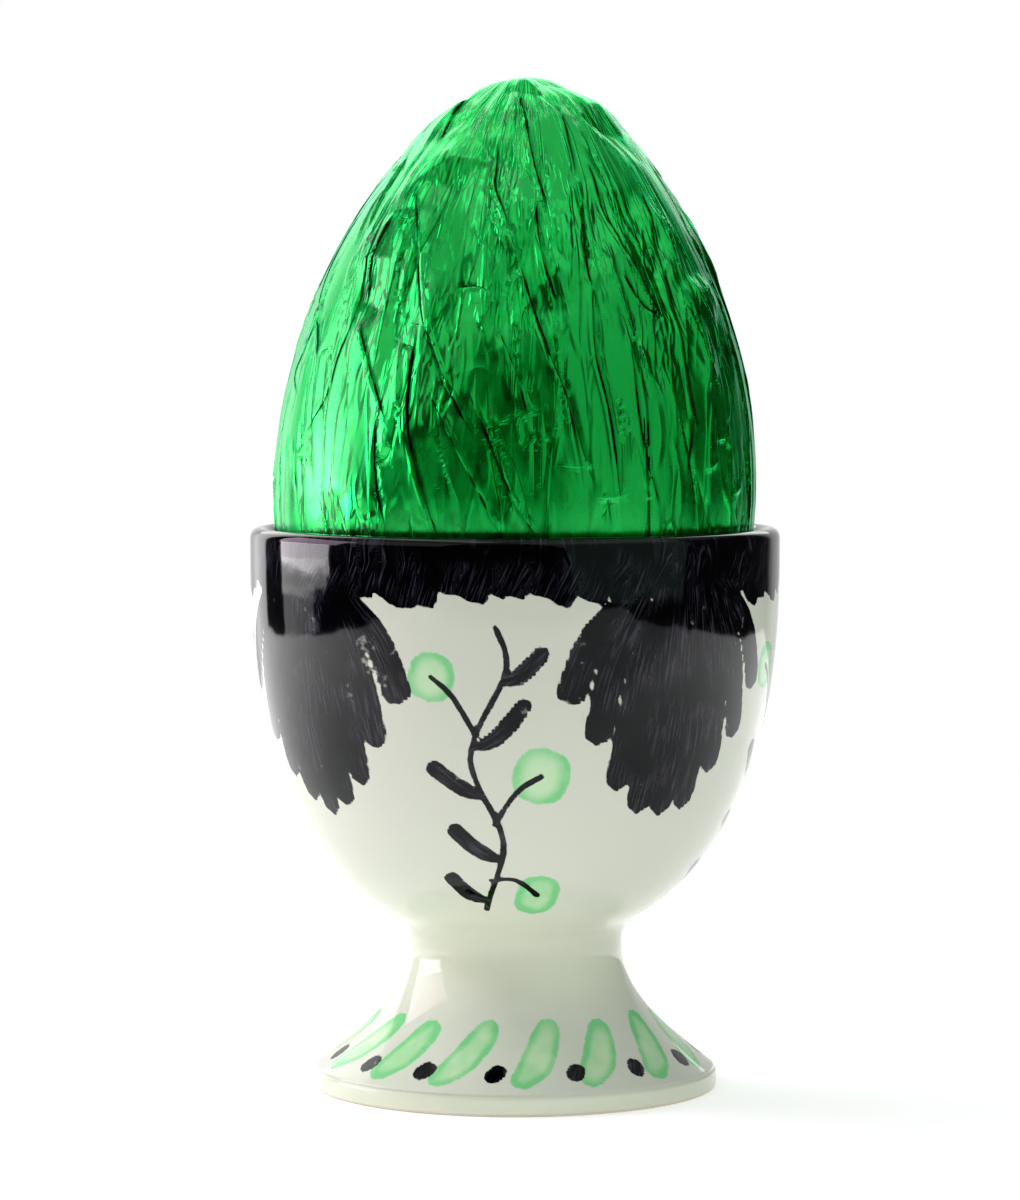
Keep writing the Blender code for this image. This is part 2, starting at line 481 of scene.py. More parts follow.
def even_steps(spots, spacing):
    """The same line with points at one even spacing."""
    runs = run_lengths(spots)
    count = max(1, round(runs[-1] / spacing))
    dealt = []
    place = 0
    for step in range(count + 1):
        run = runs[-1] * step / count
        while place < len(runs) - 2 and runs[place + 1] < run:
            place += 1
        share = (run - runs[place]) / (runs[place + 1] - runs[place])
        dealt.append(tuple(b + (a - b) * share for b, a in zip(spots[place], spots[place + 1])))
    return dealt


# %% The cup's outline
cup_radius = cup_high.x
cup_height = cup_high.z
rim_width = 1.83 * mm
socket_radius = cup_radius - rim_width
bowl_top = cup_height - 2.05 * mm
bowl_depth = 0.705 * cup_height
bowl_fullness = 2.4
socket_fullness = 2.25
neck_radius = 0.464 * cup_radius
waist_radius = 0.408 * cup_radius
waist_height = 0.264 * cup_height
foot_radius = 0.766 * cup_radius
foot_edge = 1.95 * mm
edge_round = 0.45 * mm
flare_lean = math.radians(38)
flare_reach = 6.5 * mm
waist_drop = 5.3 * mm
socket_floor = 0.498 * cup_height
ring_inner = 15.7 * mm
recess = 1.6 * mm
painted_step = 0.3 * mm
plain_step = 0.7 * mm
hidden_step = 2.5 * mm
paint_low = 17.0 * mm
paint_foot = 9.5 * mm


def outer_line():
    """From the top of the bowl's wall down to the foot's sharp edge."""
    bowl = squared_ellipse(cup_radius, bowl_top, bowl_depth, bowl_fullness, neck_radius, 400)
    neck, before = bowl[-1], bowl[-2]
    slope = (before[1] - neck[1]) / (before[0] - neck[0])
    handle = (waist_radius, neck[1] - slope * (neck[0] - waist_radius))
    hollow = bezier([neck, handle, (waist_radius, waist_height)], 40)
    edge = (foot_radius - edge_round / 3, foot_edge)
    pull = (edge[0] - flare_reach * math.cos(flare_lean), edge[1] + flare_reach * math.sin(flare_lean))
    drop = (waist_radius, waist_height - waist_drop)
    flare = bezier([(waist_radius, waist_height), drop, pull, edge], 120)
    return bowl + hollow[1:] + flare[1:]


def painted_and_plain(line):
    """The outer line, finely divided where paint lies and more coarsely round the waist."""
    bowl = [spot for spot in line if spot[1] >= paint_low]
    waist = [bowl[-1]] + [spot for spot in line if paint_foot < spot[1] < paint_low]
    foot = [waist[-1]] + [spot for spot in line if spot[1] <= paint_foot]
    dealt = even_steps(bowl, painted_step) + even_steps(waist, plain_step)[1:]
    return dealt + even_steps(foot, painted_step)[1:]


def cup_outline():
    """The whole outline, from the socket's floor over the lip to the middle of the underside."""
    depth = bowl_top - socket_floor
    socket = squared_ellipse(socket_radius, bowl_top, depth, socket_fullness, 0.0, 200)[::-1]
    lip_radius = rim_width / 2
    lip = arc((socket_radius + lip_radius, cup_height - lip_radius), lip_radius, 180, 0, 30)
    lip = [(r, z) for r, z in lip if z >= bowl_top]
    edge = arc((foot_radius - edge_round, foot_edge - edge_round), edge_round, 60, 0, 5)
    heel = arc((foot_radius - edge_round, edge_round), edge_round, 0, -90, 6)
    under = even_steps([(ring_inner, 0.0), (ring_inner - recess, recess), (0.0, recess)], hidden_step)
    inner = even_steps(socket, hidden_step)[:-1] + even_steps(lip, painted_step)
    return inner + painted_and_plain(outer_line())[1:] + edge + heel + under[1:]


cup_columns = 440
cup_profile = profile_item("cup_profile", cup_outline())
print("rings in the cup", len(cup_profile.data.vertices))

# %% The egg's outline
girth_height = 56.1 * mm
egg_radius = 22.9 * mm
egg_upper = egg_high.z - girth_height
egg_lower = girth_height - egg_low.z
egg_taper = 0.196
egg_taper_power = 2.15
egg_lean = math.radians(1.6)


def egg_outline(hidden_step, shown_step):
    """From the blunt end up to the tip, round the egg's own girth."""
    count = 400
    lower = []
    for step in range(count + 1):
        a = math.pi / 2 * (1 - step / count)
        lower.append((egg_radius * math.cos(a) if step else 0.0, -egg_lower * math.sin(a)))
    upper = []
    for step in range(count + 1):
        a = math.pi / 2 * step / count
        rise = math.sin(a)
        draw_in = 1 - egg_taper * rise**egg_taper_power
        upper.append((egg_radius * math.cos(a) * draw_in if step < count else 0.0, egg_upper * rise))
    return even_steps(lower, hidden_step)[:-1] + even_steps(upper, shown_step)


# %% [markdown]
# ## Crumpling the foil
# Foil can't stretch. Pressed round an egg it breaks into flat facets between straight creases, long
# and narrow ones, because the sheet is gathered towards the two ends. A net of such facets
# can be had from a convex hull: points strewn on a ball, and the hull of those points, make a net
# of even triangles. Each corner of the net gets a height. The foil is then laid on the ball with
# its length squeezed, so that back on the egg the triangles are drawn out, and each of its points
# looks its height up in the net. Three such nets, each finer than the last, run along the sheet.
# Two more are thrown straight out from the egg's middle: a broad one, and one for hard crumples.

# %% A net of facets on a ball
def net_tree():
    """Points strewn evenly on a ball, their hull, and a random height for each corner."""
    tree, start, end = shape_tree("facet_net", {"Radius": "Float", "Spacing": "Float", "Seed": "Int"})
    spacing = Field(start.outputs["Spacing"])
    seed = start.outputs["Seed"]
    feeds = {"Segments": 64, "Rings": 32, "Radius": start.outputs["Radius"]}
    ball = geo(tree, "MeshUVSphere", feeds)
    feeds = {"Mesh": ball, "Distance Min": spacing, "Density Max": spacing**-2.0 * 2.0, "Seed": seed}
    strewn = geo(tree, "DistributePointsOnFaces", feeds, distribute_method="POISSON")
    hull = geo(tree, "ConvexHull", {0: strewn})
    dice = {2: -1.0, 3: 1.0, "Seed": seed}
    height = add(tree, "FunctionNodeRandomValue", dice, data_type="FLOAT").outputs[1]
    feed(end.inputs[0], store(hull, "net_height", height))
    return tree


def spot_on_ball(tree, radius, stretch, middle):
    """Where a point of the foil lies on the ball: its turn kept, its length squeezed."""
    turn_x, turn_y, along = split(named(tree, "wrap", "FLOAT_VECTOR"))
    lift = (along - middle) / (radius * stretch)
    flat = lift.math("COSINE") * radius
    return vector(turn_x * flat, turn_y * flat, lift.math("SINE") * radius)


def straight_out_on_ball(spot, radius, stretch):
    """Where a point of the egg, its height squeezed, would be moved straight out on to the ball."""
    x, y, z = split(spot)
    ray = vector_math("NORMALIZE", vector(x, y, z / stretch))
    return vector_math("SCALE", ray, factor=radius)


# %% [markdown]
# ## Where the folds lie
# The long dark lines on the foil are laps: the sheet doubles over itself and is pressed flat, so
# that one side of the line stands a sheet or two higher than the other. Each lap is laid out as a
# narrow ribbon on the egg. Its points say how far across the ribbon they are and how deep the
# lap is there, and the foil looks those two numbers up from the nearest ribbon.

# %% Places on the egg, and smooth routes
def ring_spot(azimuth, radius, height):
    """A point on a ring round the axis: 0 degrees faces the camera, 90 is on the right."""
    turn = math.radians(azimuth)
    return Vector((radius * math.sin(turn), -radius * math.cos(turn), height))


def egg_radius_at(height):
    """The smooth egg's radius at a height above the table, the lean left aside."""
    rise = (height - girth_height) / (egg_upper if height > girth_height else egg_lower)
    flat = math.sqrt(max(0.0, 1 - rise * rise))
    draw_in = 1 - egg_taper * rise**egg_taper_power if rise > 0 else 1
    return egg_radius * flat * draw_in


def egg_spot(azimuth, height):
    """A point on the egg in its own frame, from its height above the table."""
    return ring_spot(azimuth, egg_radius_at(height), height - girth_height)


def between(a, b, c, d, t):
    """A smooth passage from b to c, which a and d bend; t is the share of the way."""
    bend = a - 2.5 * b + 2 * c - 0.5 * d
    return b + 0.5 * t * (c - a) + t * t * bend + t**3 * (1.5 * (b - c) + 0.5 * (d - a))


def smooth_path(stops, steps_each):
    """A Catmull-Rom curve: a smooth line that goes through every one of its stops."""
    padded = [stops[0], *stops, stops[-1]]
    line = []
    for number in range(len(stops) - 1):
        turns, heights = zip(*padded[number : number + 4])
        for step in range(steps_each):
            t = step / steps_each
            line.append((between(*turns, t), between(*heights, t)))
    line.append(stops[-1])
    return line


# %% Ribbons that guide the folds
def join_rows(points, faces, columns):
    """Faces between the last two rows of points."""
    row = len(points) - 2 * columns
    for first in range(row, row + columns - 1):
        faces.append((first, first + 1, first + 1 + columns, first + columns))


def along_line(line, step):
    """The direction of a line at one of its points."""
    return line[min(len(line) - 1, step + 1)] - line[max(0, step - 1)]


# The egg is longer than it is wide, so straight out of its side points up less than its height.
lean_up = 0.45


def ribbon_item(name, folds, half_width):
    """Ribbons along routes of (degrees, millimetres up), each with its depth, as one object."""
    points, faces = [], []
    tags = {"across": [], "depth": []}
    for stops, depth in folds:
        line = [egg_spot(azimuth, height * mm) for azimuth, height in smooth_path(stops, 7)]
        for step, spot in enumerate(line):
            outward = Vector((spot.x, spot.y, lean_up * spot.z)).normalized()
            side = along_line(line, step).cross(outward).normalized()
            share = step / (len(line) - 1)
            fade = min(1.0, 4 * share, 4 * (1 - share))
            for across in (-1.0, 0.0, 1.0):
                points.append(spot + side * across * half_width)
                tags["across"].append(across)
                tags["depth"].append(depth * mm * fade)
            if step:
                join_rows(points, faces, 3)
    print(name, len(folds))
    return mesh_item(name, points, faces=faces, tags=tags)


# %% [markdown]
# The laps on the side that faces the camera are listed one by one, because they make the egg's
# character: they fan out from the tip, lean with the twist of the wrapping hand, and meet in
# narrow angles. The rest of the egg gets laps of the same kind at random.

# %% The laps
# Each lap: its route as (degrees round, millimetres up), and its depth in millimetres. A negative
# depth puts the high side on the other hand.
main_laps = [
    ([(-70, 85), (-79, 80), (-76, 75), (-63, 70), (-59, 65)], 0.16),
    ([(-68, 73), (-72, 69), (-75, 67), (-68, 65)], 0.14),
    ([(-53, 83), (-49, 73), (-51, 69), (-53, 65), (-61, 61)], 0.18),
    ([(-47, 82), (-48, 78), (-46, 73)], 0.14),
    ([(-42, 84), (-34, 80), (-28, 74), (-24, 71), (-17, 66), (-10, 62)], -0.26),
    ([(-46, 72), (-38, 67), (-32, 63)], 0.2),
    ([(-27, 72), (-27, 66), (-25, 61), (-22, 57), (-17, 52)], 0.2),
    ([(-22, 66), (-16, 62), (-10, 58), (-3, 53)], -0.16),
    ([(-12, 66), (-7, 62), (0, 56), (7, 52)], -0.2),
    ([(-56, 93), (-46, 89)], 0.26),
    ([(-13, 89), (-11, 85), (-6, 82), (0, 77)], 0.24),
    ([(-35, 63), (-34, 58), (-30, 52)], 0.12),
    ([(-66, 61), (-62, 56)], 0.12),
    ([(-9, 94), (-1, 92), (2, 89), (6, 85), (8, 82)], 0.16),
    ([(12, 94), (23, 92), (22, 89), (21, 86)], 0.26),
    ([(28, 87), (29, 83), (33, 79), (40, 73)], 0.3),
    ([(30, 77), (35, 74), (42, 73)], 0.2),
    ([(51, 85), (48, 81), (46, 75), (46, 67), (48, 63)], 0.22),
    ([(58, 81), (58, 76), (64, 72), (65, 66), (59, 62)], 0.26),
    ([(56, 66), (53, 62), (52, 56)], 0.28),
    ([(61, 60), (62, 53)], 0.24),
    ([(20, 76), (19, 70), (22, 64), (25, 55)], 0.2),
    ([(29, 71), (30, 63), (35, 56)], 0.16),
    ([(-5, 81), (-1, 78), (3, 74), (8, 69), (12, 65), (16, 57)], 0.16),
    ([(4, 83), (6, 78), (10, 74)], 0.2),
    ([(20, 83), (19, 78), (21, 74)], 0.14),
    ([(32, 64), (32, 58)], 0.14),
    ([(46, 64), (44, 59)], 0.14),
    ([(-6, 72), (-1, 68), (3, 63)], 0.12),
]
clear_from = -84
clear_to = 72


def random_laps(dice, count):
    """Laps for the rest of the egg, outside the part where they are listed."""
    laps = []
    room = 360 - clear_to + clear_from
    for number in range(count):
        azimuth = clear_to + room * (number + dice.uniform(0.2, 0.8)) / count
        top, drop = dice.uniform(64, 93), dice.uniform(8, 30)
        drift, bend = dice.uniform(-9, 9), dice.uniform(-4, 4)
        stops = [
            (azimuth, top),
            (azimuth + 0.3 * drift + bend, top - 0.35 * drop),
            (azimuth + 0.7 * drift - bend, top - 0.7 * drop),
            (azimuth + drift, max(50, top - drop)),
        ]
        laps.append((stops, dice.choice((-1, 1)) * dice.uniform(0.14, 0.34)))
    return laps


def turned_over(laps):
    """A lap of negative depth as one of positive depth that runs the other way."""
    return [(stops, depth) if depth > 0 else (stops[::-1], -depth) for stops, depth in laps]


lap_half_width = 1.3 * mm
all_laps = turned_over(main_laps + random_laps(random.Random(11), 44))
laps = ribbon_item("laps", all_laps, lap_half_width)

# %% [markdown]
# Between the laps the sheet is full of smaller creases. Most of them run up and down like the
# laps, a few are short crimps that lie across. Each is a pinched ridge or a pinched valley, half
# a millimetre to either side of its line.

# %% The small creases
def small_creases(dice, count):
    """Short ribbons all over the egg, as many on each square millimetre at every height."""
    creases = []
    while len(creases) < count:
        top = dice.uniform(50, 94)
        if dice.random() > egg_radius_at(top * mm) / egg_radius:
            continue
        azimuth = dice.uniform(0, 360)
        degrees_each = math.degrees(mm / egg_radius_at(top * mm))
        if dice.random() < 0.08:
            length = dice.uniform(1.5, 3.5) * degrees_each
            middle = (azimuth + 0.5 * length, top + dice.uniform(-0.4, 0.4))
            tip = (azimuth + length, top + dice.uniform(-0.9, 0.9))
        else:
            drop = dice.uniform(2.5, 13)
            drift = dice.gauss(0.12 * drop, 0.16 * drop) * degrees_each
            stray = dice.uniform(-0.5, 0.5) * degrees_each
            middle = (azimuth + 0.5 * drift + stray, top - 0.5 * drop)
            tip = (azimuth + drift, top - drop)
        depth = dice.choice((-1, 1)) * dice.uniform(0.07, 0.2)
        creases.append(([(azimuth, top), middle, tip], depth))
    return creases


crease_half_width = 0.55 * mm
creases = ribbon_item("creases", small_creases(random.Random(23), 400), crease_half_width)

# %% [markdown]
# The foil isn't crumpled evenly. Where fingers gathered it, it is crushed into small hard facets,
# and between those places some panels stayed nearly smooth. Both are marked by points on the egg,
# and the closer the foil is to such a point, the more it takes after it.

# %% Where the foil is crumpled, and where it is smooth
# Every place is (degrees round, millimetres up).
crumpled = [
    (-41, 79), (-36, 75), (-29, 71), (-38, 70), (-26, 66), (-42, 85), (-4, 86),
    (0, 82), (1, 76), (20, 81), (42, 80), (39, 72), (58, 72), (-45, 53),
    (22, 94), (-22, 93), (-66, 92), (68, 92), (150, 93), (-120, 93),
]
smooth_panels = [
    (-60, 78), (-56, 70), (-62, 62), (-50, 60), (-40, 57), (-52, 52),
    (-14, 74), (-10, 66), (-16, 82), (36, 62), (28, 58), (12, 62),
]


def patches_behind(dice):
    """Crumpled patches strewn at random over the egg's back."""
    return [(azimuth + dice.uniform(-6, 6), dice.uniform(54, 88)) for azimuth in range(90, 270, 9)]


def point_item(name, spots):
    """Points on the egg as an object."""
    return mesh_item(name, [egg_spot(azimuth, height * mm) for azimuth, height in spots])


patches = point_item("crumple_patches", crumpled + patches_behind(random.Random(5)))
panels = point_item("smooth_panels", smooth_panels)

# %% [markdown]
# The relief adds everything up and moves each point of the foil out or in along its normal. It
# also leaves on each point what moved it, because the finish needs that: a crease that the mesh
# can only round off gets its crisp line there.

# %% The foil's relief
sunk = 0.18 * mm
crumple_reach = 6.5 * mm
panel_reach = 11 * mm
border_wander = 7 * mm
wander_scale = 130.0
panel_calm = 0.7
pinch_power = 1.6
groove_depth = 0.7
groove_slope = 2.6
first_seed = 3


def lap_height(across, depth):
    """The height of a lap: high on one side of its line, and a groove at the foot of the step."""
    high = (across * -1.0 + 1.0).clamp() ** 2.0
    groove = (across * groove_slope + 1.0).clamp() * -groove_depth
    side = across.span(-0.3, 0.3)
    return (high * side + groove * (side * -1.0 + 1.0)) * depth


def add_up_nets(tree, nets, spot, radius, middle, girth, crumple, calm):
    """The heights of all the nets at each point of the foil, added up."""
    net_shape = net_tree()
    total = None
    for number, (along_sheet, spacing, stretch, calm_depth, crumple_depth) in enumerate(nets):
        net = add(tree, "GeometryNodeGroup", node_tree=net_shape)
        for key, value in {"Radius": radius, "Spacing": spacing, "Seed": number + first_seed}.items():
            feed(net.inputs[key], value)
        if along_sheet:
            place = spot_on_ball(tree, radius, stretch, middle)
        else:
            place = straight_out_on_ball(spot, radius, stretch)
        depth = crumple * (crumple_depth - calm_depth) + calm_depth
        height = look_up(net.outputs[0], "net_height", place) * depth
        if along_sheet:
            height = height * girth.span(0.0, 0.45, 0.0, 1.0) * (calm * -panel_calm + 1.0)
        total = height - sunk if total is None else total + height
    return total


def foil_tree(nets):
    """The smooth turned egg raised and sunk by the nets, then lapped and creased along ribbons."""
    inputs = {"Radius": "Float", "Middle": "Float", "Laps": "Object", "Creases": "Object"}
    inputs |= {"Patches": "Object", "Panels": "Object", "Material": "Material"}
    tree, start, end = shape_tree("foil_relief", inputs)
    spot = geo(tree, "InputPosition")
    normal = geo(tree, "InputNormal")
    noise = noise_at(spot, wander_scale, 1.0)

    def close_to(label, reach):
        """1 beside the points of an object, 0 beyond the reach, with an uneven border."""
        shape = shape_of(start, label)
        near = add(tree, "GeometryNodeProximity", {0: shape}, target_element="POINTS")
        away = Field(near.outputs["Distance"]) + (noise - 0.5) * border_wander
        return away.span(reach, 0.4 * reach)

    crumple = close_to("Patches", crumple_reach)
    calm = close_to("Panels", panel_reach) * (crumple * -1.0 + 1.0)
    radius = Field(start.outputs["Radius"])
    middle = Field(start.outputs["Middle"])
    x, y, _ = split(spot)
    girth = (x * x + y * y).math("SQRT") / radius
    total = add_up_nets(tree, nets, spot, radius, middle, girth, crumple, calm)
    kept = {"girth": girth, "crumple": crumple, "calm": calm}
    for label, source in (("lap", "Laps"), ("crease", "Creases")):
        ribbons = shape_of(start, source)
        across = look_up(ribbons, "across", spot)
        depth = look_up(ribbons, "depth", spot)
        if label == "lap":
            total = total + lap_height(across, depth)
        else:
            total = total + (across.size() * -1.0 + 1.0).clamp() ** pinch_power * depth
        kept |= {label: across, label + "_far": across.size(), label + "_depth": depth}
    told = start.outputs["Geometry"]
    for label, value in kept.items():
        told = store(told, label, value)
    offset = vector_math("SCALE", normal, factor=total)
    moved = geo(tree, "SetPosition", {"Geometry": told, "Offset": offset})
    return close_tree(start, end, geo(tree, "SetShadeSmooth", {"Geometry": moved}))


# %% [markdown]
# ## The foil's finish
# The foil is aluminium under clear green lacquer. As a material that is a metal with a green
# reflection: almost no red in it, and only a little blue. The lacquer's own surface adds a faint
# white sheen, and at a grazing angle the colour turns to teal.
#
# Everything finer than the mesh is drawn here, in places measured along the sheet, so that it runs
# with the wrapping. Fine wrinkles are ridges of stretched noise. A cell pattern, stretched and
# bent, splits the foil into tall panels: each leans a little its own way, so that each mirrors
# another bit of the room, and its borders are creases. Where the foil is crumpled, a second and
# smaller pattern of the same kind does more. The line of each lap and valley, and some panel
# borders, are painted dark as shade, because no light comes back out of them.

# %% Patterns on the sheet
sheet_radius = 22.9
half = (0.5, 0.5, 0.5)


def attribute(tree, label, output="Fac"):
    """Read a piece's own attribute in a material."""
    return add(tree, "ShaderNodeAttribute", attribute_name=label).outputs[output]


class Sheet:
    """Patterns in a material, laid out in millimetres along the foil."""

    def __init__(self, tree):
        self.tree = tree
        self.wrap = split(attribute(tree, "wrap", "Vector"))

    def value(self, label):
        return Field(attribute(self.tree, label))

    def place(self, stretch):
        """Places on the sheet, its length squeezed."""
        turn_x, turn_y, along = self.wrap
        return vector(turn_x * sheet_radius, turn_y * sheet_radius, along / (stretch * mm))

    def noise(self, stretch, scale, detail=2.0):
        feeds = {"Vector": self.place(stretch), "Scale": scale, "Detail": detail, "Roughness": 0.6}
        return Field(add(self.tree, "ShaderNodeTexNoise", feeds).outputs[0])

    def ridges(self, stretch, scale, sharpness):
        """Noise folded over at its middle, which leaves narrow ridges."""
        return ((self.noise(stretch, scale, 1.0) - 0.5).size() * -2.0 + 1.0) ** sharpness

    def bent(self, stretch, amount):
        """Places pushed about by a broad noise, so that no crease stays straight."""
        tree = self.tree
        feeds = {"Vector": self.place(0.6 * stretch), "Scale": 0.25, "Detail": 2.0}
        push = vector_math("SUBTRACT", add(tree, "ShaderNodeTexNoise", feeds).outputs[1], half)
        push = vector_math("SCALE", push, factor=amount)
        return vector_math("ADD", self.place(stretch), push)

    def cells(self, place, scale):
        """How far each point lies from the borders of a cell pattern, and the cells' colours."""
        feeds = {"Vector": place, "Scale": scale}
        edge = add(self.tree, "ShaderNodeTexVoronoi", feeds, feature="DISTANCE_TO_EDGE")
        cell = add(self.tree, "ShaderNodeTexVoronoi", feeds)
        return Field(edge.outputs["Distance"]), cell.outputs["Color"]

    def tilted(self, normal, cells, amount):
        """Every cell of a pattern leans its own way: flat facets with crisp borders."""
        lean = vector_math("SUBTRACT", cells, half)
        lean = vector_math("SCALE", lean, factor=amount)
        return vector_math("ADD", normal, lean)


# %% The foil's material
lacquer_green = (0.009, 0.46, 0.07, 1.0)
# The colour of the painted shade in the foil's dark lines.
painted_shade_green = (0.0, 0.03, 0.008, 1.0)
grazing_teal = (0.3, 0.85, 0.6, 1.0)
sheen = 0.55


def foil_material():
    constants = {"Metallic": 1.0, "Coat Roughness": 0.25, "Specular Tint": grazing_teal}
    material, tree, shader = new_material("green_foil", constants)
    sheet = Sheet(tree)
    girth = sheet.value("girth")
    crumple = sheet.value("crumple")
    plain = (crumple * -0.6 + 1.0) * (sheet.value("calm") * -0.75 + 1.0)

    # The relief too fine for the mesh, in millimetres.
    patchy = sheet.noise(1.6, 0.16).span(0.47, 0.6, 0.06, 1.0) * girth.span(0.05, 0.4, 0.25, 1.0)
    wrinkles = sheet.ridges(7.0, 0.5, 4.0) * 0.08 + sheet.ridges(6.0, 1.1, 3.0) * 0.014
    fibres = sheet.noise(12.0, 2.5) * 0.003
    panel_edge, panel_cell = sheet.cells(sheet.bent(8.0, 4.0), 0.27)
    pleat_edge, pleat_cell = sheet.cells(sheet.bent(3.6, 2.5), 0.45)
    borders = panel_edge.span(0.07, 0.0) * 0.05 + pleat_edge.span(0.12, 0.0) * (crumple * 0.06 + 0.006)
    knots = sheet.ridges(3.0, 0.8, 3.0) * crumple * 0.08

    # The crisp middle of each lap and crease.
    lap, lap_far, lap_depth = sheet.value("lap"), sheet.value("lap_far"), sheet.value("lap_depth") / mm
    crease, crease_far = sheet.value("crease"), sheet.value("crease_far")
    crease_depth = sheet.value("crease_depth") / mm
    step = lap.span(-0.06, 0.06) * lap_far.span(0.5, 0.3) * lap_depth * 0.25
    pinch = crease.size().span(0.35, 0.0) * crease_far.span(1.0, 0.85) * crease_depth * 0.25
    height = (wrinkles + fibres) * patchy * plain + (borders + knots) * girth.span(0.05, 0.4, 0.3, 1.0)
    height = height + step + pinch
    bump = add(tree, "ShaderNodeBump", {"Strength": 1.0, "Distance": mm, "Height": height})
    normal = sheet.tilted(bump.outputs[0], panel_cell, plain * 0.07)
    normal = sheet.tilted(normal, pleat_cell, crumple * 0.16)
    feed(shader.inputs["Normal"], vector_math("NORMALIZE", normal))

    # Painted shade: dark lines at the open edge of a lap, the shade at its foot, valleys and some panel
    # borders.
    broken = sheet.noise(3.0, 0.6).span(0.35, 0.62, 0.03, 0.15)
    painted_line_shade = (broken - lap.size()).span(0.0, 0.05) * lap_far.span(0.5, 0.3) * (lap_depth / 0.1).clamp()
    shade = lap.span(-0.45, -0.02) * lap.span(0.08, 0.0) * lap_far.span(0.6, 0.4)
    shade = shade * (lap_depth / 0.2).clamp()
    valley_shade = crease.size().span(0.2, 0.06) * crease_far.span(1.0, 0.85) * (crease_depth * -8.0).clamp()
    border_shade = panel_edge.span(0.022, 0.008) * sheet.noise(3.0, 0.35).span(0.45, 0.6)
    painted_line_shade = painted_line_shade.most(shade * 0.6).most(valley_shade * 0.7).most(border_shade * 0.5)
    feed(shader.inputs["Base Color"], mixed(painted_line_shade, lacquer_green, painted_shade_green))
    feed(shader.inputs["Coat Weight"], painted_line_shade * -sheen + sheen)
    brushed = sheet.noise(2.0, 0.5).span(0.3, 0.7, 0.24, 0.36) - crumple * 0.1
    feed(shader.inputs["Roughness"], brushed)
    return material


# %% Turn the egg, then fold the foil on it
egg_columns = 540
egg_profile = profile_item("egg_profile", egg_outline(2.0 * mm, 0.3 * mm))
foil_length = egg_profile.data.attributes["along"].data[-1].value
foil = foil_material()
egg = mesh_item("foil_wrapper")
run_tree(egg, lathe, {"Profile": egg_profile, "Columns": egg_columns, "Material": foil})

# Whether it runs along the sheet, spacing, stretch, depth where calm, depth where crumpled.
nets = [
    (True, 3.6 * mm, 6.0, 0.13 * mm, 0.10 * mm),
    (True, 1.8 * mm, 6.0, 0.04 * mm, 0.16 * mm),
    (True, 1.2 * mm, 3.0, 0.006 * mm, 0.13 * mm),
    (False, 2.3 * mm, 2.0, 0.02 * mm, 0.54 * mm),
    (False, 5.5 * mm, 2.4, 0.09 * mm, 0.14 * mm),
]
guides = {"Laps": laps, "Creases": creases, "Patches": patches, "Panels": panels}
sizes = {"Radius": egg_radius, "Middle": foil_length / 2, "Material": foil}
run_tree(egg, foil_tree(nets), guides | sizes)
egg.data.transform(Matrix.Translation((0, 0, girth_height)) @ Matrix.Rotation(egg_lean, 4, "Y"))
print("foil triangles", 2 * len(egg.data.polygons))

# %% [markdown]
# ## Brushwork for the cup
# The cup is decorated by hand, with black and with mint green, and then glazed over. The pattern
# is simple tableware brushwork: a black rim dabbed downwards, fans of long black strokes that
# hang from it, berry sprigs in thin line between the fans, and slanted leaves round the foot. Each
# stroke is laid out as a ribbon on the cup, as wide as the brush mark. The cup's own points then
# measure how far they are from the nearest ribbon, and the glaze paints where that is nothing.

# %% Places on the cup
outer = outer_line()[::-1]


def cup_radius_at(height):
    """The cup's outer radius at a height."""
    for (low_r, low_z), (high_r, high_z) in zip(outer, outer[1:]):
        if height <= high_z:
            share = max(0.0, (height - low_z) / (high_z - low_z))
            return low_r + (high_r - low_r) * share
    return cup_radius


def cup_spot(azimuth, height):
    """A point on the cup's outside."""
    return ring_spot(azimuth, cup_radius_at(height), height)


def back_on_cup(spot):
    """The point of the cup's outside at the same height and in the same direction."""
    return cup_spot(math.degrees(math.atan2(spot.x, -spot.y)), spot.z)


# %% Brush strokes as ribbons
brush_columns = (-1.0, -0.75, -0.4, 0.0, 0.4, 0.75, 1.0)
layers = 12
layer_step = 0.003
# Every stroke takes its streaks from another part of the noise, so many millimetres on.
streak_shift = 3.7


def dab(share):
    """A brush mark's width: a round start, then a long taper."""
    start = math.sqrt(1 - (1 - share / 0.15) ** 2) if share < 0.15 else 1.0
    tail = 1 - max(0.0, (share - 0.45) / 0.55) ** 2.2
    return max(0.04, start * tail)


def drop_mark(share):
    """The other way about: a thin start that swells to a round end."""
    return dab(1 - share)


def oval(share):
    """An ellipse."""
    return max(0.02, math.sqrt(1 - (2 * share - 1) ** 2))


def out_of_cup(spot):
    """The direction straight out of the cup's side at a point."""
    turn = math.atan2(spot.x, -spot.y)
    east = Vector((math.cos(turn), math.sin(turn), 0))
    slope = back_on_cup(spot + Vector((0, 0, 0.2 * mm))) - spot
    return east.cross(slope).normalized()


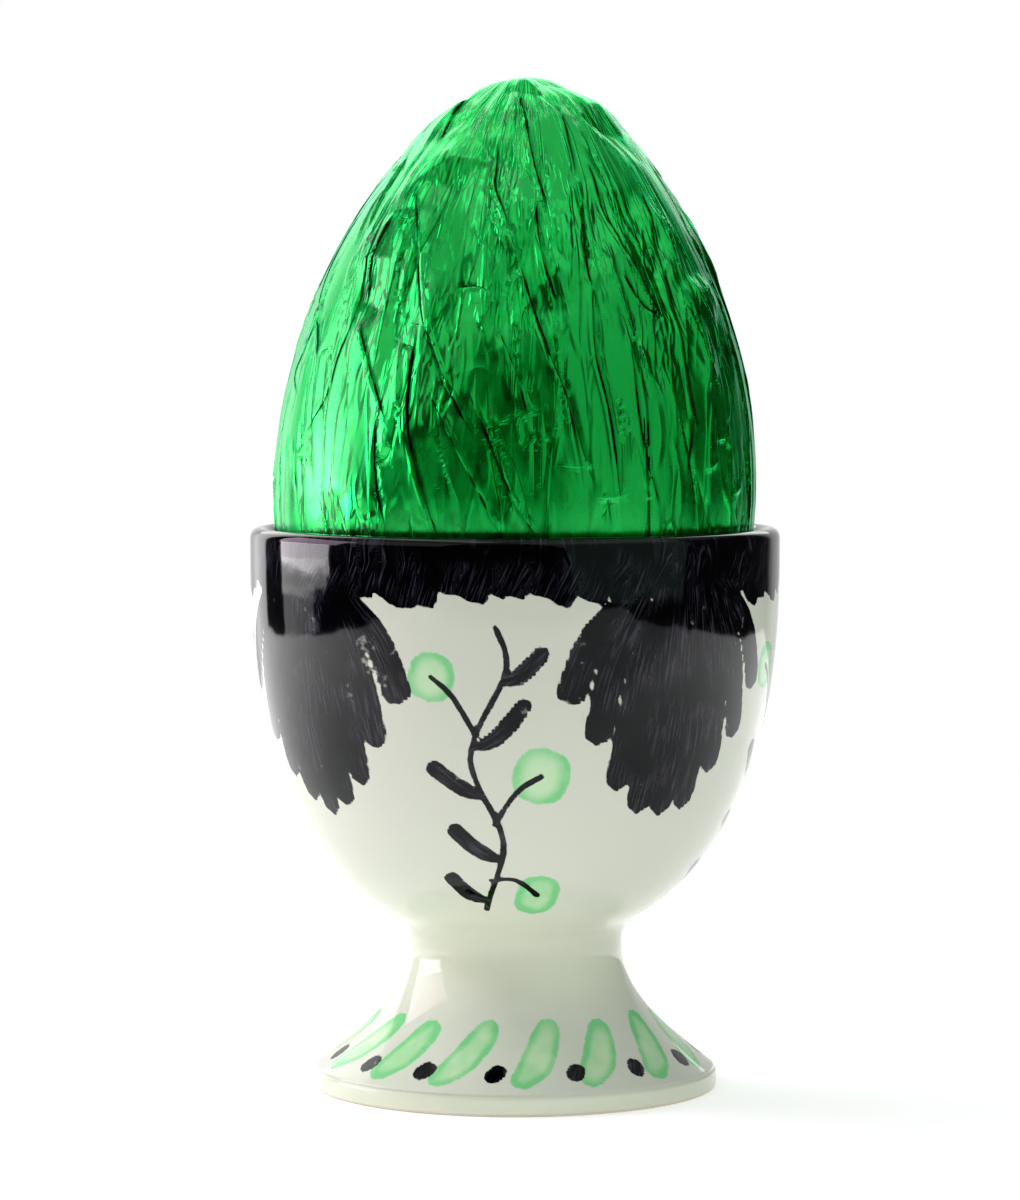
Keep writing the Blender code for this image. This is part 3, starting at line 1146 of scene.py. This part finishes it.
def brush(strokes, name):
    """All strokes of one colour as a mesh; each is (stops, half width in mm, shape of its width)."""
    points, faces = [], []
    tags = {"across": [], "run": [], "rim": []}
    for number, (stops, half_width, shape) in enumerate(strokes):
        line = [cup_spot(azimuth, height * mm) for azimuth, height in smooth_path(stops, 9)]
        run = 0.0
        for step, spot in enumerate(line):
            run += (spot - line[max(0, step - 1)]).length / mm
            outward = out_of_cup(spot)
            side = along_line(line, step).cross(outward).normalized()
            share = step / (len(line) - 1)
            width = half_width * shape(share)
            layer = outward * (number % layers) * layer_step * mm
            for across in brush_columns:
                points.append(back_on_cup(spot + side * across * width * mm) + layer)
                rim = math.sqrt((2 * share - 1) ** 2 + across**2 * (1 - (2 * share - 1) ** 2))
                tags["across"].append(across * width + streak_shift * number)
                tags["run"].append(run)
                tags["rim"].append(rim)
            if step:
                join_rows(points, faces, len(brush_columns))
    print(name, len(strokes), "strokes")
    return mesh_item(name, points, faces=faces, tags=tags)


# %% The rim and the fans
dice = random.Random(31)
rim_low = 48.3
ink_strokes = []
rim_dabs = 74
for number in range(rim_dabs):
    azimuth = 360 * (number + dice.uniform(-0.3, 0.3)) / rim_dabs
    bottom = rim_low - dice.uniform(0.1, 1.7)
    lean = dice.uniform(1.5, 6.5)
    stops = [(azimuth + lean, 51.0), (azimuth, bottom)]
    ink_strokes.append((stops, dice.uniform(1.0, 1.7), drop_mark))

fan_places = (-52, 38, 128, 218)
fan_blades = 9
for place in fan_places:
    for blade in range(fan_blades):
        spread = (blade - (fan_blades - 1) / 2) / ((fan_blades - 1) / 2)
        length = 21.5 - 11.0 * spread**2 + dice.uniform(-0.8, 0.8)
        root = place + 11 * spread
        tip = place + (27 + dice.uniform(-0.8, 0.8)) * spread
        middle = place + (22 + dice.uniform(-0.6, 0.6)) * spread
        top = rim_low + 0.8
        stops = [(root, top), (middle, top - 0.5 * length), (tip, top - length)]
        ink_strokes.append((stops, dice.uniform(1.3, 1.45), drop_mark))

# %% The berry sprigs
line_routes = []
mint_strokes = []
sprig_places = (-7, 83, 173, 263)
leaf_half_width = 0.75
# Each leaf and berry twig: degrees round and millimetres up where it starts, and where it ends.
sprig_leaves = [
    (-2, 19.5, -13, 22), (3, 23.5, -9, 27), (0, 29.5, -12, 33), (-2, 34, 9, 38), (4, 40, 13, 43)
]
# The twigs' last number is the size of the berry.
sprig_berries = [(2, 27, 13, 31.5, 2.5), (-2, 35.5, -11, 40.5, 2.1), (0, 21.5, 14, 20.0, 1.9)]
for place in sprig_places:
    stem = [(place - 3, 18.5), (place + 4, 25), (place - 3, 33), (place + 5, 41), (place + 3, 45)]
    line_routes.append(stem)
    for start_turn, start_up, end_turn, end_up in sprig_leaves:
        wobble = dice.uniform(-1, 1)
        middle = (place + 0.5 * (start_turn + end_turn), 0.5 * (start_up + end_up) - 0.7)
        tip = (place + end_turn + wobble, end_up + 0.5 * wobble)
        ink_strokes.append(([(place + start_turn, start_up), middle, tip], leaf_half_width, drop_mark))
    for start_turn, start_up, end_turn, end_up, size in sprig_berries:
        middle = (place + 0.5 * (start_turn + end_turn), 0.5 * (start_up + end_up) + 0.8)
        line_routes.append([(place + start_turn, start_up), middle, (place + end_turn, end_up)])
        stops = [(place + end_turn - 1, end_up - size), (place + end_turn + 1, end_up + size)]
        mint_strokes.append((stops, size, oval))

# %% The foot's leaves and dots
foot_leaves = 15
for number in range(foot_leaves):
    azimuth = 360 * (number + 0.3 + dice.uniform(-0.07, 0.07)) / foot_leaves
    lean = dice.uniform(6, 10)
    stops = [(azimuth - lean, 2.7), (azimuth, 4.6), (azimuth + lean, 7.6 + dice.uniform(-0.4, 0.4))]
    mint_strokes.append((stops, dice.uniform(1.4, 1.7), oval))
    spot_azimuth = azimuth + 180 / foot_leaves
    stops = [(spot_azimuth - 2.2, 3.0), (spot_azimuth + 1.6, 4.2)]
    ink_strokes.append((stops, dice.uniform(0.75, 0.95), oval))

ink = brush(ink_strokes, "ink_strokes")
mint = brush(mint_strokes, "mint_strokes")


def line_item(name, routes):
    """Thin lines as chains of edges on the cup."""
    points, chain = [], []
    for stops in routes:
        line = [cup_spot(azimuth, height * mm) for azimuth, height in smooth_path(stops, 10)]
        for step, spot in enumerate(line):
            if step:
                chain.append((len(points) - 1, len(points)))
            points.append(spot)
    return mesh_item(name, points, chain)


lines = line_item("thin_lines", line_routes)

# %% [markdown]
# ## Measuring the paint
# The tree stores a few numbers on each point of the cup: how far outside the ink it is, how far
# outside the mint, and where it lies within its stroke. They are distances rather than masks,
# because a distance changes evenly from point to point, and so the edge that the glaze draws from
# it stays sharp between the points.

# %% The tree that measures the paint
hover = 0.5 * mm
stroke_growth = 0.1
line_half_width = 0.27


def paint_tree():
    inputs = {"Ink": "Object", "Lines": "Object", "Mint": "Object", "Rim": "Float"}
    tree, start, end = shape_tree("paint", inputs | {"Material": "Material"})
    spot = geo(tree, "InputPosition")
    normal = geo(tree, "InputNormal")
    above = vector_math("ADD", spot, vector_math("SCALE", normal, factor=hover))

    def distance_to(shape, element):
        node = add(tree, "GeometryNodeProximity", {0: shape}, target_element=element)
        return Field(node.outputs["Distance"]) / mm

    ink, lines, mint = (shape_of(start, label) for label in ("Ink", "Lines", "Mint"))
    _, _, height = split(spot)
    below_rim = (Field(start.outputs["Rim"]) - height) / mm
    strokes = distance_to(ink, "FACES") - stroke_growth
    thin = distance_to(lines, "EDGES") - line_half_width
    kept = {
        "ink": strokes.least(thin).least(below_rim),
        "ink_across": look_up(ink, "across", above),
        "ink_run": look_up(ink, "run", above),
        "mint": distance_to(mint, "FACES") - stroke_growth,
        "mint_rim": look_up(mint, "rim", above),
    }
    told = start.outputs["Geometry"]
    for label, value in kept.items():
        told = store(told, label, value)
    return close_tree(start, end, told)


# %% [markdown]
# ## The glaze
# The body of the cup is off-white. Where the clear glaze ran thick, in the hollow of the waist and
# along the foot's edge, it looks a little green; that colour is also lighter than the body's, as
# painted light on the waist and the foot's edge, which lie in the bowl's shade. The ink is nearly
# black, and a half-dry brush leaves paler streaks in it along each stroke. The mint is thin and
# watery, so it is palest in the middle of a mark and darker where it dried at the edges. The ring
# that the cup stands on is wiped clean before firing and shows the bare clay.

# %% The glaze's material
glaze_white = (0.60, 0.61, 0.53, 1.0)
# Thick glaze: a little green, and lighter than the body as painted light on the shaded waist and foot.
thick_glaze_painted_lighter = (0.645, 0.66, 0.54, 1.0)
mint_thin = (0.46, 0.72, 0.40, 1.0)
mint_pooled = (0.17, 0.56, 0.22, 1.0)
ink_wet = (0.002, 0.002, 0.003, 1.0)
ink_dry = (0.036, 0.034, 0.046, 1.0)
bare_clay = (0.58, 0.52, 0.43, 1.0)


def glaze_material():
    material, tree, shader = new_material("white_glaze", {"Specular IOR Level": 0.3})
    place = add(tree, "ShaderNodeTexCoord").outputs["Object"]
    _, _, height = split(place)

    def noise(where, size, detail=2.0):
        return noise_at(where, 1.0 / size, detail)

    def value(label):
        return Field(attribute(tree, label))

    # Where the glaze ran thick, at the waist and the foot's edge, which also get the painted light.
    thick_and_lightened = height.span(22 * mm, 15 * mm) * height.span(7 * mm, 12 * mm) + height.span(2.4 * mm, 1.4 * mm)
    thick_and_lightened = (thick_and_lightened * (noise(place, 9 * mm) + 0.5)).clamp()
    body = mixed(thick_and_lightened, glaze_white, thick_glaze_painted_lighter)

    ragged = (noise(place, 0.7 * mm) - 0.5) * 0.22 + (noise(place, 2.5 * mm) - 0.5) * 0.3
    watery = noise(place, 3.5 * mm, 3.0).span(0.35, 0.65)
    pooled = (value("mint_rim").span(0.45, 0.95) * 0.8 + watery * 0.5).clamp()
    mint_colour = mixed(pooled, mint_thin, mint_pooled)
    mint_mask = (value("mint") + ragged).span(0.12, -0.06) * (pooled * 0.25 + 0.72)
    painted = mixed(mint_mask, body, mint_colour)

    lane = vector(value("ink_across") * 4.5, value("ink_run") * 0.3, 0.0)
    dry = noise(lane, 1.0, 3.0).span(0.45, 0.68) * noise(place, 5 * mm).span(0.36, 0.56)
    ink_colour = mixed(dry, ink_wet, ink_dry)
    ink_mask = (value("ink") + ragged * 0.7).span(0.04, -0.04)
    inked = mixed(ink_mask, painted, ink_colour)

    clay = height.span(0.35 * mm, 0.2 * mm)
    feed(shader.inputs["Base Color"], mixed(clay, inked, bare_clay))
    feed(shader.inputs["Roughness"], clay * 0.7 + noise(place, 3 * mm) * 0.04 + 0.04)
    waves = noise(place, 6 * mm) * 0.05 + noise(place, 1.6 * mm) * 0.003
    bump = add(tree, "ShaderNodeBump", {"Strength": 1.0, "Distance": mm, "Height": waves})
    feed(shader.inputs["Normal"], bump.outputs[0])
    return material


# %% Turn the cup, then paint it
glaze = glaze_material()
cup = mesh_item("painted_cup")
run_tree(cup, lathe, {"Profile": cup_profile, "Columns": cup_columns, "Material": glaze})
marks = {"Ink": ink, "Lines": lines, "Mint": mint, "Rim": rim_low * mm}
run_tree(cup, paint_tree(), marks | {"Material": glaze})
print("cup triangles", 2 * len(cup.data.polygons))

# %% Hand the pieces over
for helper in (cup_profile, egg_profile, laps, creases, patches, panels, ink, lines, mint):
    bpy.data.objects.remove(helper)
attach(cup, "root")
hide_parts("egg_cup")
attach(egg, "root")
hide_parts("foil_egg")
